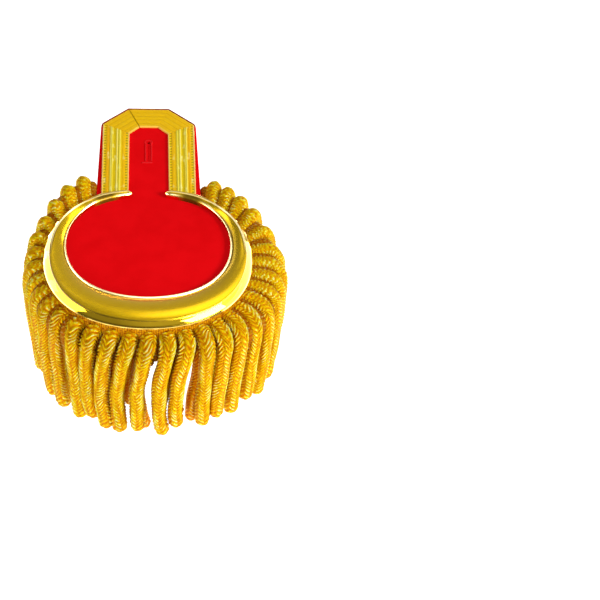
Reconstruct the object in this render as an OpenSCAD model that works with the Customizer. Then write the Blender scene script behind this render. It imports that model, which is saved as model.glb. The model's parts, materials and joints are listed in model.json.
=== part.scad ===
// Dress epaulette: a cloth-covered strap and round field, a border of ribbed gold lace,
// a polished crescent round the field, and two rows of thick bullion fringe.
// The origin is under the middle of the round field. +Y runs along the strap to the collar,
// -Y points down the arm, and +Z is up. All sizes are in millimetres.

/* [Board] */
// Thickness of the cloth-covered board
board_t = 3.5; // [2.5:0.1:4.5]
// Half the strap's width at the shoulders of its collar end
strap_half_w = 27.8; // [27:0.1:28.5]
// Half the strap's width where it runs into the round field
strap_base_half_w = 29.2; // [28.6:0.1:29.4]
// How far the cloth shows past the lace at the collar end
cloth_margin = 0.7; // [0.3:0.1:1.2]
// How far the crescent's outer edge overhangs the board
board_inset = 1.4; // [1.3:0.1:2]

/* [Buttonhole] */
// Radius of the eye, for a button's shank
eye_r = 1.15; // [0.8:0.05:1.5]
// Distance from the field's middle to the eye
eye_y = 102; // [96:0.5:104]
// Length of the slit, from the eye towards the field
slit_l = 18; // [12:0.5:22]
// Width of the slit
slit_w = 0.5; // [0.3:0.05:0.6]

/* [Lace] */
// Width of the lace along the strap's sides
lace_w = 15.5; // [14:0.1:16.5]
// Width of the lace across the collar end
lace_end_w = 17.6; // [16:0.1:18.5]
// Thickness of the lace
lace_t = 0.9; // [0.7:0.05:1.2]
// Distance from the field's middle to the lace's far edge
lace_reach = 134; // [130:0.5:138]
// Half the width of the straight part of the collar end
end_half_w = 11.8; // [10:0.1:13]
// Distance from the field's middle to the shoulders of the collar end
shoulder_y = 118.8; // [116:0.2:120]
// Radius of a raised rib
rib_r = 0.6; // [0.4:0.05:0.7]
// How far a rib stands above the lace
rib_rise = 0.4; // [0.2:0.05:0.4]

/* [Crescent] */
// Half the crescent's width over its outer edge
rim_half_w = 55.2; // [55:0.1:55.6]
// Reach of the outer edge towards the arm
rim_front = 54.8; // [54.5:0.1:55.2]
// Reach of the outer edge towards the collar
rim_rear = 54.6; // [54.4:0.1:54.8]
// Half the width of the opening round the field
lip_half_w = 43.6; // [43:0.1:44]
// Reach of the opening towards the arm
lip_front = 32.2; // [32:0.1:33]
// Height of the crease between the face and the outer bead
crease_h = 4.1; // [3.6:0.1:4.6]
// Height of the inner lip
lip_h = 1.9; // [1.6:0.1:2.2]
// Thickness of the stamped metal
wall = 0.9; // [0.8:0.05:1]

/* [Fringe] */
// Radius of a strand of the outer row
outer_r = 4.2; // [3.8:0.05:4.2]
// Radius of a strand of the inner row
inner_r = 3.8; // [3.4:0.05:3.8]
// Height of the tips of the outer row, below the board
fringe_drop = 64; // [58:1:68]
// How far the outer row stands out past the crescent, on average
outer_reach = 10.6; // [10.4:0.1:10.8]

/* [Tongue] */
// Width of the fixing tongue under the strap
tongue_w = 14; // [10:0.5:18]
// Thickness of the tongue
tongue_t = 1.2; // [1:0.1:1.5]
// Space between the tongue and the board
tongue_space = 2.6; // [2:0.1:3.5]

/* [Hidden] */

red = [0.80, 0.04, 0.06];
lace_gold = [0.88, 0.70, 0.10];
metal_gold = [0.93, 0.76, 0.22];
fringe_gold = [0.90, 0.66, 0.08];
tongue_brass = [0.72, 0.58, 0.28];

gap = 0.1;
through = 1;

// Where each closed curve is widest, and how full its corners are
rim_wide_y = 2.2;
rim_full = 0.076;
lip_rear = 51.2;
lip_wide_y = 10.5;
lip_full = 0.066;

// The crescent, by the angle t from its middle at the front to its tips
tip_angle = 171;
tip_round = 4;
section_step = 6;
hollow_angle = 156;
lip_turn = 11;
valley_h = 1.3;
valley_w = 1.5;
bead_w = 2.6;
bead_side_w = 0.9;
bulge = 0.085;
tip_droop = 0.45;
base_h = 0.35;
tip_scale = 0.4;
plain_from = 156;
plain_to = 168;
last_section = 162;
closing = 12;
// Outlines as pairs: part of the width of the lip or bead, part of its height
lip_outline = [[0, 0.75], [0.25, 1], [0.6, 0.92]];
bead_outline = [[0.25, 1.01], [0.6, 0.83], [0.88, 0.47]];
face_steps = [0, 0.2, 0.45, 0.7, 0.88, 1];
roof_steps = [1, 0.7, 0.45, 0.2];
// Which point of a section its outline starts from, near the crown of the face
crown = 6;

// The lace
lace_start_y = 40;
lace_base_half_w = 26.2;
lace_half_w = 26.7;
inner_half_w = lace_half_w - lace_w;
inner_end_half_w = 5.4;
inner_shoulder_y = 109.9;
rib_places = [4.6, 6.6, 9.0, 11.0];
rib_start_y = 56;

// The fringe's strands, by their number from the front, positive to +X. Each row is worked
// in lengths, given by their first and last strand.
outer_lengths = [[-15, -5], [-4, 6], [7, 16]];
inner_lengths = [[-13, 0], [1, 13]];
left_step = 9.55;
right_step = 8.97;
inner_step = 10.6;
evening = 1;
turn_back = 2.5;
crest_h = 3.2;
reach_right = 4.2;
reach_front = 3.4;
reach_sides = 1.6;
reach_back = 6;
lean_in = 3;
lift_front = 1.4;
lift_back = 8;
outer_sides = 8;
inner_sides = 6;
outer_root_inset = 0.6;
inner_root_inset = 9.5;
row_space = 8.6;
root_z = -2.6;
inner_root_z = -1.2;
tape_in = board_inset - gap;
tape_out = 0.2;
tape_end = 148.5;
tape_step = 5.5;
tape_cut = 0.1;
tape_top = board_t - 0.2;
tape_bottom = -5;
inner_tape_w = 1.6;
inner_tape_h = 2.2;

// How the front strands of the outer row hang.
// Columns: sideways shift at half depth, sideways shift of the tip, how much shorter it is
first_swayed = -8;
sway = [
    [-0.5, 1.0, -2], [-2.5, -0.5, 3.5], [-0.5, 1.5, -2], [-0.5, 1.0, -2],
    [0.2, 2.0, -2.5], [-2.6, 0.8, 3], [-4.4, -1.8, -1], [-6.0, -4.8, -2],
    [-5.6, -5.2, 1], [-5.0, -3.0, -1], [-5.8, -6.2, 4], [-1.6, -2.4, 1],
    [-4.2, -5.4, 5], [-5.0, -5.4, 2.5], [-4.0, -5.2, 5], [-3.8, -5.6, 0],
    [0.2, -2.6, -1]
];
// The same for the front strands of the inner row, with how much deeper each hangs
first_inner_swayed = -3;
inner_sway = [
    [-0.2, 0.3, 4, 0], [-1.7, -1.2, 5, 0], [-1.8, -1.2, 4, 6], [-6.0, -1.5, -6, 0],
    [-1.8, -4.0, 5, 0], [-5.3, -4.8, 3, 0], [-5.6, -8.8, -2, 0], [-7.0, -5.5, 4, 0]
];

// The tongue's side view
tongue_root_y = 18;
tongue_pad_l = 14;
tongue_bend_l = 5;
tongue_end_y = 96;

function clamp01(x) = max(0, min(1, x));
function smooth(x, low, high) = let (s = clamp01((x - low) / (high - low))) s * s * (3 - 2 * s);
function unit(v) = v / norm(v);

// Point at angle t of a closed egg-shaped curve: t is 0 at the front and 90 on +X
function egg(t, half_w, front, rear, wide_y, full) =
    let (half_l = (rear + front) / 2, mid_y = (rear - front) / 2)
    [
        half_w * sin(t) * (1 + full * pow(cos(t), 2)),
        mid_y - half_l * cos(t) * (1 + full * pow(sin(t), 2)) + (wide_y - mid_y) * pow(sin(t), 2)
    ];

// The crescent's outer edge, moved inwards by inset
function rim(t, inset) =
    egg(t, rim_half_w - inset, rim_front - inset, rim_rear - inset, rim_wide_y, rim_full);

// The crescent's inner edge, opposite the outer edge's point at t
function lip(t) = egg(t - lip_turn * sin(t), lip_half_w, lip_front, lip_rear, lip_wide_y, lip_full);

function along(t) = unit(rim(t + 0.5, 0) - rim(t - 0.5, 0));

// The way a strand leaves the rim: square to it, and turned to the collar beside the strap
function outward(t) = let (a = along(t)) unit([a[1], turn_back * smooth(abs(t), 95, 148) - a[0]]);

// Solid through a list of rings that have the same number of points
module loft(rings) {
    n = len(rings[0]);
    last = len(rings) - 1;
    sides = [
        for (i = [0:last - 1], j = [0:n - 1], upper = [0, 1])
            let (a = i * n + j, b = i * n + (j + 1) % n)
                upper == 0 ? [a, b + n, b] : [a, a + n, b + n]
    ];
    start = [for (j = [0:n - 1]) j];
    end = [for (j = [n - 1:-1:0]) last * n + j];
    polyhedron(points = [for (r = rings) each r], faces = concat(sides, [start, end]), convexity = 8);
}

// Flat outline of the space inside the rim curve
module rim_outline(inset) {
    polygon([for (t = [0:4:356]) rim(t, inset)]);
}

// Outline of the lace, or of the cloth past its edge by margin
module strap_outline(base_half, shoulder_half, margin) {
    corners = [
        [base_half, lace_start_y],
        [shoulder_half, shoulder_y],
        [end_half_w + margin / 2, lace_reach + margin]
    ];
    left = [for (i = [len(corners) - 1:-1:0]) [-corners[i][0], corners[i][1]]];
    polygon(concat(corners, left));
}

module cloth_board() {
    color(red)
    difference() {
        union() {
            linear_extrude(board_t) rim_outline(board_inset);
            linear_extrude(board_t) strap_outline(strap_base_half_w, strap_half_w, cloth_margin);
        }
        translate([0, eye_y, -through]) cylinder(h = board_t + 2 * through, r = eye_r, $fn = 48);
        translate([-slit_w / 2, eye_y - slit_l, -through]) cube([slit_w, slit_l, board_t + 2 * through]);
    }
}

// Inner edge of the lace, as a polygon that the lace leaves open
module lace_window() {
    polygon([
        [inner_half_w, lace_start_y - through],
        [inner_half_w, inner_shoulder_y],
        [inner_end_half_w, lace_reach - lace_end_w],
        [-inner_end_half_w, lace_reach - lace_end_w],
        [-inner_half_w, inner_shoulder_y],
        [-inner_half_w, lace_start_y - through]
    ]);
}

// Raised ribs of one leg of the lace, up to the fold at its shoulder
module lace_ribs() {
    for (place = rib_places) {
        fold_y = shoulder_y - (shoulder_y - inner_shoulder_y) * place / lace_w;
        translate([lace_half_w - place, rib_start_y, lace_t - rib_r + rib_rise])
            rotate([-90, 0, 0]) cylinder(h = fold_y - rib_start_y, r = rib_r, $fn = 16);
    }
}

module lace_border() {
    color(lace_gold)
    translate([0, 0, board_t + gap])
    union() {
        linear_extrude(lace_t)
        difference() {
            strap_outline(lace_base_half_w, lace_half_w, 0);
            lace_window();
            rim_outline(-2 * gap);
        }
        intersection() {
            union() {
                lace_ribs();
                mirror([1, 0, 0]) lace_ribs();
            }
            translate([-lace_half_w, rib_start_y - through, lace_t / 2])
                cube([2 * lace_half_w, lace_reach, 2 * rib_r + lace_t]);
        }
    }
}

// Height factor along the crescent, less at the tips
function fall(t) = 1 - tip_droop * pow(abs(t) / tip_angle, 6);

// How much of its full size a section near the tip keeps
function tip_size(t) =
    let (s = clamp01((abs(t) - tip_angle + tip_round) / tip_round)) max(0.2, sqrt(1 - s * s));

// Top of the domed face at fraction f of its width
function dome(f, face_w) = valley_h + (crease_h - valley_h) * f + 4 * bulge * face_w * f * (1 - f);

// Plain rounded arch that the profile turns into at a tip, at fraction x of its width
function arch(x) = crease_h * (0.32 + 0.6 * sqrt(max(0, 4 * x * (1 - x))));

function bead(t, w) = min(bead_w + bead_side_w * pow(sin(t), 2), 0.4 * w);

// Upper profile of a section w wide, as pairs of distance from the inner edge and height
function top_profile(t, w) =
    let (
        v = min(valley_w, 0.3 * w),
        b = bead(t, w),
        face_w = w - v - b,
        c = w - b,
        plain = smooth(abs(t), plain_from, plain_to),
        points = [
            for (p = lip_outline) [p[0] * v, p[1] * lip_h],
            for (f = face_steps) [v + face_w * f, dome(f, face_w)],
            for (p = bead_outline) [c + p[0] * b, p[1] * crease_h],
            [w, base_h]
        ]
    )
    [for (p = points) [p[0], p[1] * (1 - plain) + arch(p[0] / w) * plain]];

// Underside of the same section, from its outer foot to its inner foot. The hollow under
// the stamped metal closes before the tips.
function under_profile(t, w) =
    let (
        face_w = w - valley_w - bead(t, w),
        open = 1 - smooth(abs(t), hollow_angle - closing, hollow_angle),
        side = min(wall, w / 8),
        from = max(valley_w, 2 * side),
        roof = [
            [w - 1.5 * side, tip_scale * crease_h],
            for (f = roof_steps) [from + face_w * f, dome(f, face_w) - wall],
            [side, valley_h - wall]
        ],
        n = len(roof),
        floor = [for (k = [0:n - 1]) [w - side - (w - 2 * side) * (k + 0.5) / n, 0]]
    )
    concat(
        [[w, 0], [w - side, 0]],
        [for (k = [0:n - 1]) floor[k] * (1 - open) + roof[k] * open],
        [[side, 0], [0, 0]]
    );

// The section's whole outline, started from the crown of its face
function crescent_profile(t, w) =
    let (all = concat(top_profile(t, w), under_profile(t, w)), n = len(all))
    [for (k = [0:n - 1]) all[(k + crown) % n]];

// A section's points, put across the crescent at angle t
function crescent_ring(t) =
    let (
        inner = lip(t),
        outer = rim(t, 0),
        w = norm(outer - inner),
        mid = (inner + outer) / 2,
        q = tip_size(t)
    )
    [
        for (p = crescent_profile(t, w))
            let (at = mid + (inner + (outer - inner) * p[0] / w - mid) * q)
                [at[0], at[1], p[1] * fall(t) * (tip_scale + (1 - tip_scale) * q)]
    ];

module crescent() {
    ends = [tip_angle, tip_angle - 0.5, tip_angle - 1.5, tip_angle - 3];
    middle = [for (t = [-last_section:section_step:last_section]) t];
    angles = concat([for (t = ends) -t], middle, [for (i = [len(ends) - 1:-1:0]) ends[i]]);
    color(metal_gold)
    translate([0, 0, board_t + gap])
        loft([for (t = angles) crescent_ring(t)]);
}

// Root angle of strand i, evened out round the rim
function root_angle(i, step) = step * i - evening * sin(4 * step * i);

function outer_angle(i) = i > 0 ? right_step * i : root_angle(i, left_step);

// Extra height and reach of the strands beside the strap on -X
function crest(t) = crest_h * smooth(-t, 112, 132);

// How far the outer row stands out: most on the +X side, least at the front left
function reach(t) =
    outer_reach + reach_right * sin(t) - reach_front * cos(t) + reach_sides * pow(sin(t), 2)
        + reach_back * smooth(abs(t), 105, 145) + crest(t);

// How far a tip hangs in from below the strand's outermost point
function lean(t) = lean_in * pow(sin(t), 2);

// Shift along the rim at depth d, from 0 at the root to 1 at the tip
function shift(d, middle, tip) = (4 * middle - tip) * d + (2 * tip - 4 * middle) * d * d;

// Circle of points round a path, square to it, and square to start at its root
function tube_ring(path, k, start, r, side, sides) =
    let (
        last = len(path) - 1,
        t = k == 0 ? start : unit(path[min(k + 1, last)] - path[k - 1]),
        u = unit(side - (side * t) * t),
        v = cross(t, u)
    )
    [for (j = [0:sides - 1]) path[k] + r * (cos(360 * j / sides) * u + sin(360 * j / sides) * v)];

// Strand of the outer row: an arch out of the heading, then a straight fall
function outer_path(i) =
    let (
        t = outer_angle(i),
        row = i - first_swayed,
        swayed = row >= 0 && row < len(sway),
        middle = swayed ? sway[row][0] : 0.7 * sin(137 * i),
        tip = swayed ? sway[row][1] : sin(101 * i),
        low = -fringe_drop + (swayed ? sway[row][2] : 2.5 * sin(71 * i)),
        out = reach(t) + 0.5 * sin(113 * i),
        lift = lift_front + 0.6 * sin(59 * i) + lift_back * smooth(abs(t), 70, 140) + crest(t),
        drop = 6 + 0.35 * out,
        root = rim(t, outer_root_inset),
        n = outward(t),
        a = along(t),
        arch = [
            for (s = [0, 0.25, 0.5, 0.75, 1])
                [out * sin(90 * s), root_z + lift * pow(sin(180 * s), 2) - drop * (1 - cos(90 * s))]
        ],
        fall_z = root_z - drop,
        hang = [for (h = [0.35, 0.7, 0.94, 1]) [out - lean(t) * h * h, fall_z + (low - fall_z) * h]]
    )
    [
        for (p = concat(arch, hang))
            let (
                d = clamp01((root_z - p[1]) / (root_z - low)),
                at = root + n * p[0] + a * shift(d, middle, tip)
            )
                [at[0], at[1], p[1]]
    ];

module outer_strand(i) {
    path = outer_path(i);
    a = along(outer_angle(i));
    side = [a[0], a[1], 0];
    start = [a[1], -a[0], 0];
    sizes = [0.96, 1, 1, 1, 1, 1, 1, 0.88, 0.4];
    loft([for (k = [0:len(path) - 1]) tube_ring(path, k, start, outer_r * sizes[k], side, outer_sides)]);
}

// Angles along a length of heading tape. Where it meets the next length, between the roots
// before and after, it stops short of the middle.
function tape_angles(before, first, last, after) =
    let (
        start = is_undef(before) ? -tape_end : (before + first) / 2 + tape_cut,
        end = is_undef(after) ? tape_end : (last + after) / 2 - tape_cut,
        n = ceil((end - start) / tape_step)
    )
    [for (k = [0:n]) start + (end - start) * k / n];

// Band of heading tape between two insets, along the given angles
module tape(angles, inset_out, inset_in, bottom, top) {
    back = [for (i = [len(angles) - 1:-1:0]) angles[i]];
    translate([0, 0, bottom])
        linear_extrude(top - bottom)
        polygon(concat([for (t = angles) rim(t, inset_out)], [for (t = back) rim(t, inset_in)]));
}

// Length of the outer row: its strands, fused to their heading
module fringe_outer(part) {
    first = outer_lengths[part][0];
    last = outer_lengths[part][1];
    before = part > 0 ? outer_angle(first - 1) : undef;
    after = part < len(outer_lengths) - 1 ? outer_angle(last + 1) : undef;
    color(fringe_gold)
    union() {
        tape(
            tape_angles(before, outer_angle(first), outer_angle(last), after),
            tape_out, tape_in, tape_bottom, tape_top
        );
        for (i = [first:last]) outer_strand(i);
    }
}

// Strand of the inner row: an S under the board, then a straight fall behind the outer row
function inner_path(i) =
    let (
        t = root_angle(i, inner_step),
        front = abs(t) < 90 ? pow(cos(t), 2) : 0,
        row = i - first_inner_swayed,
        swayed = row >= 0 && row < len(inner_sway),
        middle = swayed ? inner_sway[row][0] : -4.2 * front,
        tip = swayed ? inner_sway[row][1] : -3.6 * front,
        low = -fringe_drop + (swayed ? inner_sway[row][2] : 4 + 2 * sin(83 * i)),
        deeper = swayed ? inner_sway[row][3] : 0,
        out = reach(t) + inner_root_inset - outer_root_inset - row_space - deeper,
        deep = 12 + out,
        root = rim(t, inner_root_inset),
        n = outward(t),
        a = along(t),
        bend = [for (s = [0, 0.35, 0.7, 1]) [out * (1 - cos(180 * s)) / 2, inner_root_z - deep * s]],
        bend_z = inner_root_z - deep,
        hang = [for (h = [0.5, 0.93, 1]) [out - lean(t) * h * h, bend_z + (low - bend_z) * h]]
    )
    [
        for (p = concat(bend, hang))
            let (
                d = clamp01((inner_root_z - p[1]) / (inner_root_z - low)),
                at = root + n * p[0] + a * shift(d, middle, tip)
            )
                [at[0], at[1], p[1]]
    ];

module inner_strand(i) {
    path = inner_path(i);
    a = along(root_angle(i, inner_step));
    side = [a[0], a[1], 0];
    start = [0, 0, -1];
    sizes = [0.8, 1, 1, 1, 1, 0.86, 0.4];
    loft([for (k = [0:len(path) - 1]) tube_ring(path, k, start, inner_r * sizes[k], side, inner_sides)]);
}

// Length of the inner row, fused to a heading of its own under the board
module fringe_inner(part) {
    first = inner_lengths[part][0];
    last = inner_lengths[part][1];
    before = part > 0 ? root_angle(first - 1, inner_step) : undef;
    after = part < len(inner_lengths) - 1 ? root_angle(last + 1, inner_step) : undef;
    color(fringe_gold)
    union() {
        tape(
            tape_angles(before, root_angle(first, inner_step), root_angle(last, inner_step), after),
            inner_root_inset - inner_tape_w / 2, inner_root_inset + inner_tape_w / 2,
            -gap - inner_tape_h, -gap
        );
        for (i = [first:last]) inner_strand(i);
    }
}

// Flat springy strip under the strap, for the bridle on the coat's shoulder
module fixing_tongue() {
    root_end = tongue_root_y + tongue_pad_l;
    low = tongue_space + tongue_t + gap;
    side_view = [
        [tongue_root_y, -gap], [root_end, -gap],
        [root_end + tongue_bend_l, tongue_t - low], [tongue_end_y, tongue_t - low],
        [tongue_end_y, -low], [root_end + tongue_bend_l - tongue_t / 2, -low],
        [root_end - tongue_t / 2, -gap - tongue_t], [tongue_root_y, -gap - tongue_t]
    ];
    color(tongue_brass)
    intersection() {
        translate([-tongue_w / 2, 0, 0])
            rotate([90, 0, 90]) linear_extrude(tongue_w) polygon(side_view);
        union() {
            translate([-tongue_w / 2, tongue_root_y, -low - through])
                cube([tongue_w, tongue_end_y - tongue_w / 2 - tongue_root_y, low + 2 * through]);
            translate([0, tongue_end_y - tongue_w / 2, -low - through])
                cylinder(h = low + 2 * through, r = tongue_w / 2, $fn = 48);
        }
    }
}

cloth_board();
lace_border();
crescent();
fringe_outer(0);  // fringe_outer_left
fringe_outer(1);  // fringe_outer_front
fringe_outer(2);  // fringe_outer_right
fringe_inner(0);  // fringe_inner_left
fringe_inner(1);  // fringe_inner_right
fixing_tongue();
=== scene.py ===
import json
import math

import bmesh
import bpy
import numpy as np
from mathutils import Matrix, Vector


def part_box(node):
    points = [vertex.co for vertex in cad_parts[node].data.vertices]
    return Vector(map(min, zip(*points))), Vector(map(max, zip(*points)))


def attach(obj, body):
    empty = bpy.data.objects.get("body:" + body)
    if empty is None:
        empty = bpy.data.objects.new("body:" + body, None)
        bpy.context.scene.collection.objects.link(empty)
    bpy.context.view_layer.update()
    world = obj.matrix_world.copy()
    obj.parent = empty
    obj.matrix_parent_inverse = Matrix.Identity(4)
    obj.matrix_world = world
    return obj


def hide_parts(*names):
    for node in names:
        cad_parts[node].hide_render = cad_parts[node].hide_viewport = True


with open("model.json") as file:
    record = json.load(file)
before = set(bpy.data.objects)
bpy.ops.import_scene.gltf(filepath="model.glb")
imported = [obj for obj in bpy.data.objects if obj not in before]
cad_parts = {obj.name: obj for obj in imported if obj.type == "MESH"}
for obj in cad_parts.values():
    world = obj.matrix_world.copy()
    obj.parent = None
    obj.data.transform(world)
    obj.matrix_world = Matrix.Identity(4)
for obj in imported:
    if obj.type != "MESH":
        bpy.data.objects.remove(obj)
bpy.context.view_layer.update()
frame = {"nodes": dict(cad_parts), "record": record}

# Lengths are in millimetres and angles in degrees, as in the part, until a mesh is made
MM = 0.001


def from_frame(metres):
    """A length of the frame's, in millimetres."""
    return round(metres / MM, 2)


BUTTON_EYE = next(m for m in frame["record"]["mounts"] if m["name"] == "button_eye")

# Board
BOARD_T = from_frame(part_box("cloth_board")[1].z)
STRAP_HALF_W = 27.8
STRAP_BASE_HALF_W = 29.2
CLOTH_MARGIN = 0.7
BOARD_INSET = 1.4
BOARD_EDGE_R = 0.7
WELT_RISE = 1.35
EYE_R = BUTTON_EYE["dims"]["r_mm"]
EYE_Y = from_frame(BUTTON_EYE["pos_m"][1])
SLIT_L = 18.0
SLIT_W = 0.5
SLIT_KINK = 0.12

# Lace
LACE_START_Y = 40.0
LACE_BASE_HALF_W = 26.2
LACE_HALF_W = 26.7
LACE_W = 15.5
LACE_CORNER_W = 17.0
LACE_END_W = 17.6
LACE_REACH = from_frame(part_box("lace_border")[1].y)
END_HALF_W = 11.8
SHOULDER_Y = 118.8
INNER_HALF_W = LACE_HALF_W - LACE_W
INNER_END_HALF_W = 5.4
INNER_SHOULDER_Y = 109.9
# How far the lace dips at its folds and at its one sewn mitre
LOW_FOLD = 0.05
FOLD = 0.12
SEAM = 0.42
DOT_PITCH = 2.5

# Crescent, by the angle t from its middle at the front to its tips.
# Columns: half width, reach to the front and rear, where it is widest, how full its curve is
RIM = (55.2, 54.8, 54.6, 2.2, 0.076)
LIP = (43.6, 32.2, 51.2, 10.5, 0.066)
LIP_TURN = 11.0
TIP_ANGLE = 171.0
TIP_ROUND = 4.0
TIP_DROOP = 0.15
HORN_SWELL = 1.1
CREASE_H = 4.1
LIP_H = 1.9
VALLEY_H = 1.3
VALLEY_W = 1.5
BEAD_W = 2.6
BEAD_SIDE_W = 0.9
BASE_H = 0.34
BULGE = 0.085
WALL = 0.9
GAP = 0.1

# Fringe. Strands are numbered from the front, positive to +X
OUTER_R = 4.2
INNER_R = 3.8
COVER_DEPTH = 0.05
OUTER_SIDES = 30
INNER_SIDES = 18
FRINGE_DROP = 64.0
ROOT_Z = -2.6
INNER_ROOT_Z = -1.2
OUTER_ROOT_INSET = 0.6
INNER_ROOT_INSET = 9.5
ROW_SPACE = 8.6
LEFT_STEP = 9.55
RIGHT_STEP = 8.97
INNER_STEP = 10.6
OUTER_REACH = 10.6
REACH_RIGHT = 4.2
REACH_FRONT = 3.4
REACH_SIDES = 1.6
REACH_BACK = 6
CREST_H = 3.2
LIFT_FRONT = 1.4
LIFT_BACK = 8
LEAN_IN = 3
TURN_BACK = 2.5
OUTER_LENGTHS = {"left": (-15, -5), "front": (-4, 6), "right": (7, 16)}
INNER_LENGTHS = {"left": (-13, 0), "right": (1, 13)}

# How the front strands of the outer row hang, by their numbers.
# Columns: sideways shift at half depth and of the tip, how much shorter each is
SWAY = dict(enumerate([
    (-0.5, 1.0, -2), (-2.5, -0.5, 3.5), (-0.5, 1.5, -2), (-0.5, 1.0, -2),
    (0.2, 2.0, -2.5), (-2.6, 0.8, 3), (-4.4, -1.8, -1), (-6.0, -4.8, -2),
    (-5.6, -5.2, 1), (-5.0, -3.0, -1), (-5.8, -6.2, 4), (-1.6, -2.4, 1),
    (-4.2, -5.4, 5), (-5.0, -5.4, 2.5), (-4.0, -5.2, 5), (-3.8, -5.6, 0),
    (0.2, -2.6, -1),
], -8))
# The same for the inner row, and how much deeper each hangs
INNER_SWAY = dict(enumerate([
    (-0.2, 0.3, 4, 0), (-1.7, -1.2, 5, 0), (-1.8, -1.2, 4, 6), (-6.0, -1.5, -6, 0),
    (-1.8, -4.0, 5, 0), (-5.3, -4.8, 3, 0), (-5.6, -8.8, -2, 0), (-7.0, -5.5, 4, 0),
], -3))

# The wound cover: V-shaped ridges in columns round a strand
V_COLUMNS = 3
V_PITCH = 2.15
V_RISE = 4.2
RINGS_PER_RIDGE = 6
RELIEF = 0.75
WIRES_PER_RIDGE = 5
# Rough turns break the ridges up into sectors
CURL_SECTORS = 7
ROUND_END = 4.6

# Thin cords behind the outer row's tops. The last loops stand beside the strap
LAST_LOOP = 146.5
LOOP_R = 3.1
LAST_LOOP_R = 2.7
SKIRT_R = 1.5
SKIRT_STEP = 2.3
FILLER_RELIEF = 0.55

# Heading tapes. Columns: inset of outer and inner face, bottom, top
OUTER_TAPE = (0.2, 1.3, -5.0, 3.3)
INNER_TAPE = (8.7, 10.3, -2.3, -0.1)
TAPE_END = 148.5
TAPE_PITCH = 1.2

UP = np.array([0.0, 0.0, 1.0])


def sin(degrees):
    return math.sin(math.radians(degrees))


def cos(degrees):
    return math.cos(math.radians(degrees))


def smooth(x, low, high):
    s = np.clip((x - low) / (high - low), 0.0, 1.0)
    return s * s * (3 - 2 * s)


def unit(v):
    return v / np.linalg.norm(v)


def unit_rows(v):
    return v / np.linalg.norm(v, axis=1)[:, None]


# The plan curves, as in the part


def egg(t, inset, half_w, front, rear, wide_y, full):
    half_w, front, rear = half_w - inset, front - inset, rear - inset
    half_l = (rear + front) / 2
    mid_y = (rear - front) / 2
    x = half_w * sin(t) * (1 + full * cos(t) ** 2)
    y = mid_y - half_l * cos(t) * (1 + full * sin(t) ** 2) + (wide_y - mid_y) * sin(t) ** 2
    return np.array([x, y, 0.0])


def rim(t, inset):
    return egg(t, inset, *RIM)


def crescent_edge(t):
    """The crescent's outer edge. Its horns swell over the foot of the lace."""
    return rim(t, -HORN_SWELL * smooth(abs(t), 142, 154))


def lip(t):
    return egg(t - LIP_TURN * sin(t), 0.0, *LIP)


def along(t):
    return unit(rim(t + 0.5, 0) - rim(t - 0.5, 0))


def outward(t):
    """The way a strand leaves the rim, turned to the collar beside the strap."""
    a = along(t)
    return unit(np.array([a[1], TURN_BACK * smooth(abs(t), 95, 148) - a[0], 0.0]))


# Meshes


def place_in_scene(thing):
    bpy.context.scene.collection.objects.link(thing)


def add_piece(name, mesh):
    mesh.polygons.foreach_set("use_smooth", [True] * len(mesh.polygons))
    piece = bpy.data.objects.new(name, mesh)
    place_in_scene(piece)
    return piece


def add_mesh(name, points, faces, **attributes):
    """Object from points in millimetres, with values or vectors for each point."""
    mesh = bpy.data.meshes.new(name)
    mesh.from_pydata((np.asarray(points) * MM).tolist(), [], [list(f) for f in faces])
    for key, values in attributes.items():
        values = np.asarray(values, dtype=np.float32)
        kind, field = ("FLOAT", "value") if values.ndim == 1 else ("FLOAT_VECTOR", "vector")
        mesh.attributes.new(key, kind, "POINT").data.foreach_set(field, values.ravel())
    mesh.validate()
    return add_piece(name, mesh)


def grid_faces(rows, columns, closed):
    """Quads of a grid of points. A closed grid joins its last column to its first."""
    last = columns if closed else columns - 1
    i, j = np.meshgrid(np.arange(rows - 1), np.arange(last), indexing="ij")
    a = i * columns + j
    b = i * columns + (j + 1) % columns
    return np.stack([a, b, b + columns, a + columns], -1).reshape(-1, 4).tolist()


def neighbours(ring):
    return list(zip(ring, [*ring[1:], ring[0]]))


def fan(ring, centre, flip):
    return [(b, a, centre) if flip else (a, b, centre) for a, b in neighbours(ring)]


def joined(parts):
    """Points and faces of several parts as one."""
    first, faces = 0, []
    for points, their_faces in parts:
        faces += [[first + k for k in face] for face in their_faces]
        first += len(points)
    return np.vstack([points for points, _faces in parts]), faces


def tube(rings):
    n = len(rings[0])
    points = np.vstack(rings)
    faces = grid_faces(len(rings), n, True)
    return points, faces + [list(range(n))[::-1], list(range(len(points) - n, len(points)))]


def lengths_along(points):
    return np.concatenate([[0], np.cumsum(np.linalg.norm(np.diff(points, axis=0), axis=1))])


def finish_piece(piece, slot, material, *nodes):
    piece.data.materials.append(material)
    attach(piece, "root")
    if nodes:
        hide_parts(*nodes)


# Materials


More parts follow.
